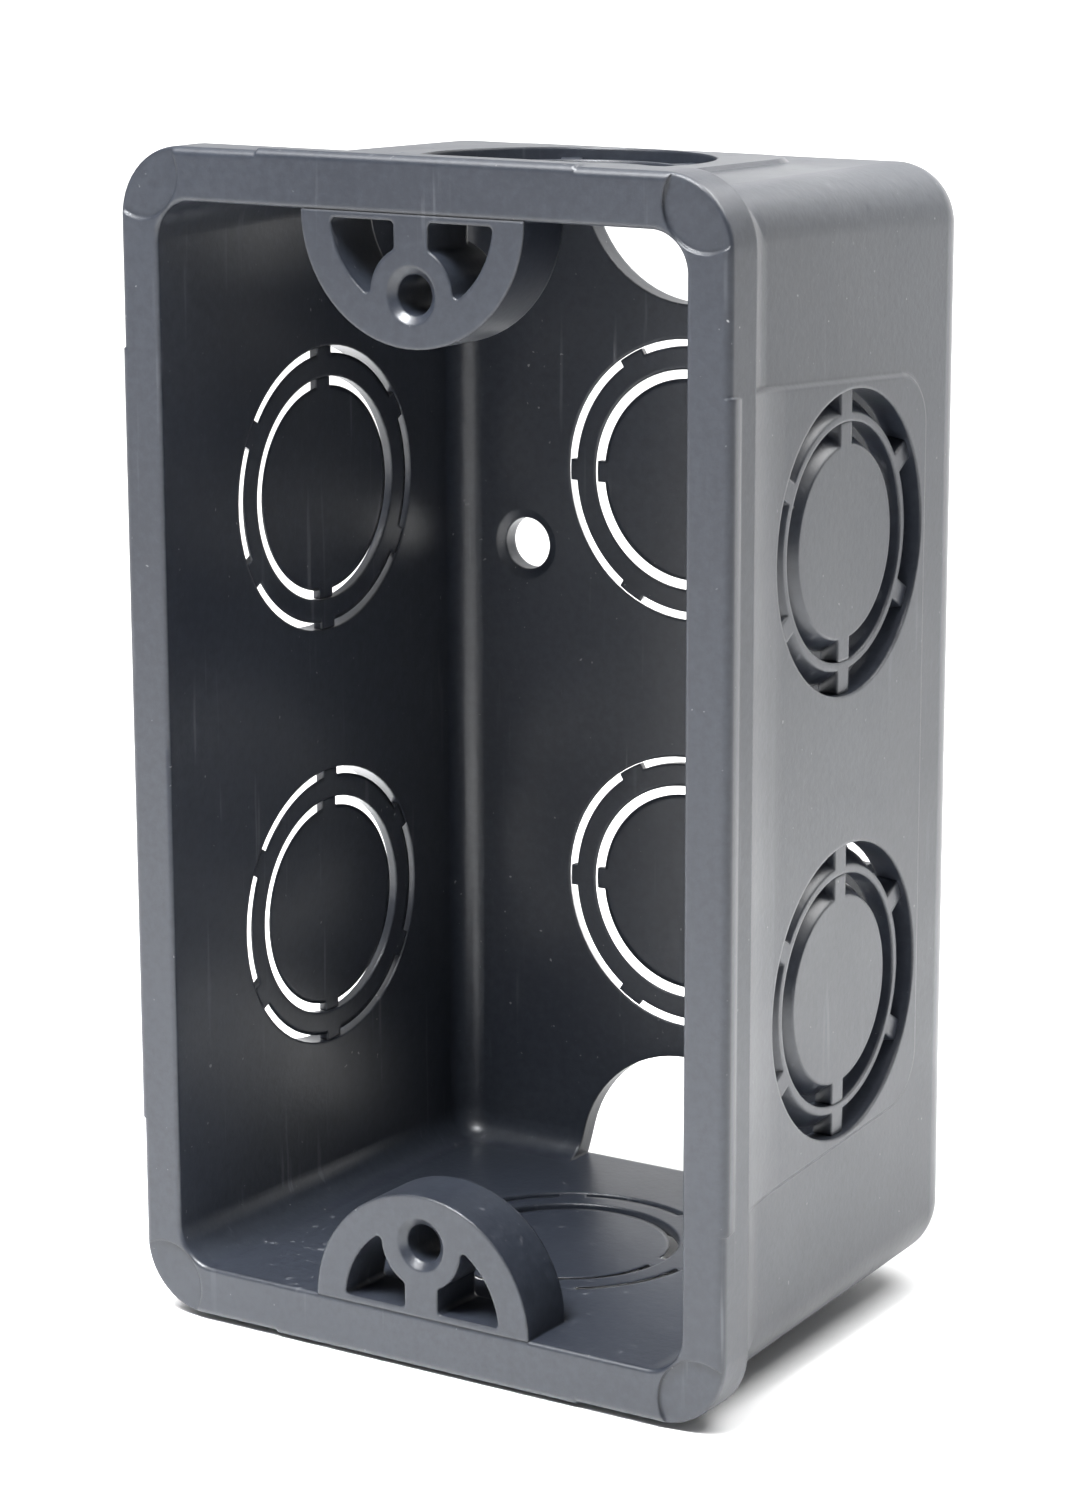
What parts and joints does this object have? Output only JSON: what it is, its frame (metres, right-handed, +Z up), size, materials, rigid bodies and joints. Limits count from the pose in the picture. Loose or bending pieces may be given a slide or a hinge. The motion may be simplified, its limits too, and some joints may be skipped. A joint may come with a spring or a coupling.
{
  "type": "electrical junction box",
  "caption": "Deep rectangular moulded wiring box, open at the front, with screw lugs at top and bottom and two-size round conduit knockouts in every wall.",
  "frame": {"origin": "middle of the two device screw holes, on the plane of the mouth", "axes": "+X to the right seen from the front, +Y from the mouth to the back, +Z up"},
  "size_m": [0.0618, 0.0475, 0.1064],
  "materials": {
    "box_pvc": "satin dark blue-grey rigid PVC, as moulded",
    "knockout_pvc": "satin dark blue-grey rigid PVC, as moulded"
  },
  "bodies": {
    "box": {"box_body": "box_pvc"},
    "left_upper_ring": {"knockout_left_upper_ring": "knockout_pvc"},
    "left_upper_disc": {"knockout_left_upper_disc": "knockout_pvc"},
    "left_lower_ring": {"knockout_left_lower_ring": "knockout_pvc"},
    "left_lower_disc": {"knockout_left_lower_disc": "knockout_pvc"},
    "right_upper_ring": {"knockout_right_upper_ring": "knockout_pvc"},
    "right_upper_disc": {"knockout_right_upper_disc": "knockout_pvc"},
    "right_lower_ring": {"knockout_right_lower_ring": "knockout_pvc"},
    "right_lower_disc": {"knockout_right_lower_disc": "knockout_pvc"},
    "back_upper_ring": {"knockout_back_upper_ring": "knockout_pvc"},
    "back_upper_disc": {"knockout_back_upper_disc": "knockout_pvc"},
    "back_lower_ring": {"knockout_back_lower_ring": "knockout_pvc"},
    "back_lower_disc": {"knockout_back_lower_disc": "knockout_pvc"},
    "top_ring": {"knockout_top_ring": "knockout_pvc"},
    "top_disc": {"knockout_top_disc": "knockout_pvc"},
    "bottom_ring": {"knockout_bottom_ring": "knockout_pvc"},
    "bottom_disc": {"knockout_bottom_disc": "knockout_pvc"}
  },
  "joints": [
    {"name": "left_upper_ring_break_out", "type": "slide", "parent": "box", "child": "left_upper_ring", "axis": [-0.9998, 0.0175, 0], "range_m": [0, 0.015]},
    {"name": "left_upper_disc_break_out", "type": "slide", "parent": "left_upper_ring", "child": "left_upper_disc", "axis": [-0.9998, 0.0175, 0], "range_m": [0, 0.015]},
    {"name": "left_lower_ring_break_out", "type": "slide", "parent": "box", "child": "left_lower_ring", "axis": [-0.9998, 0.0175, 0], "range_m": [0, 0.015]},
    {"name": "left_lower_disc_break_out", "type": "slide", "parent": "left_lower_ring", "child": "left_lower_disc", "axis": [-0.9998, 0.0175, 0], "range_m": [0, 0.015]},
    {"name": "right_upper_ring_break_out", "type": "slide", "parent": "box", "child": "right_upper_ring", "axis": [0.9998, 0.0175, 0], "range_m": [0, 0.015]},
    {"name": "right_upper_disc_break_out", "type": "slide", "parent": "right_upper_ring", "child": "right_upper_disc", "axis": [0.9998, 0.0175, 0], "range_m": [0, 0.015]},
    {"name": "right_lower_ring_break_out", "type": "slide", "parent": "box", "child": "right_lower_ring", "axis": [0.9998, 0.0175, 0], "range_m": [0, 0.015]},
    {"name": "right_lower_disc_break_out", "type": "slide", "parent": "right_lower_ring", "child": "right_lower_disc", "axis": [0.9998, 0.0175, 0], "range_m": [0, 0.015]},
    {"name": "back_upper_ring_break_out", "type": "slide", "parent": "box", "child": "back_upper_ring", "axis": [0, 1, 0], "range_m": [0, 0.015]},
    {"name": "back_upper_disc_break_out", "type": "slide", "parent": "back_upper_ring", "child": "back_upper_disc", "axis": [0, 1, 0], "range_m": [0, 0.015]},
    {"name": "back_lower_ring_break_out", "type": "slide", "parent": "box", "child": "back_lower_ring", "axis": [0, 1, 0], "range_m": [0, 0.015]},
    {"name": "back_lower_disc_break_out", "type": "slide", "parent": "back_lower_ring", "child": "back_lower_disc", "axis": [0, 1, 0], "range_m": [0, 0.015]},
    {"name": "top_ring_break_out", "type": "slide", "parent": "box", "child": "top_ring", "axis": [0, 0, 1], "range_m": [0, 0.015]},
    {"name": "top_disc_break_out", "type": "slide", "parent": "top_ring", "child": "top_disc", "axis": [0, 0, 1], "range_m": [0, 0.015]},
    {"name": "bottom_ring_break_out", "type": "slide", "parent": "box", "child": "bottom_ring", "axis": [0, 0, -1], "range_m": [0, 0.015]},
    {"name": "bottom_disc_break_out", "type": "slide", "parent": "bottom_ring", "child": "bottom_disc", "axis": [0, 0, -1], "range_m": [0, 0.015]}
  ]
}
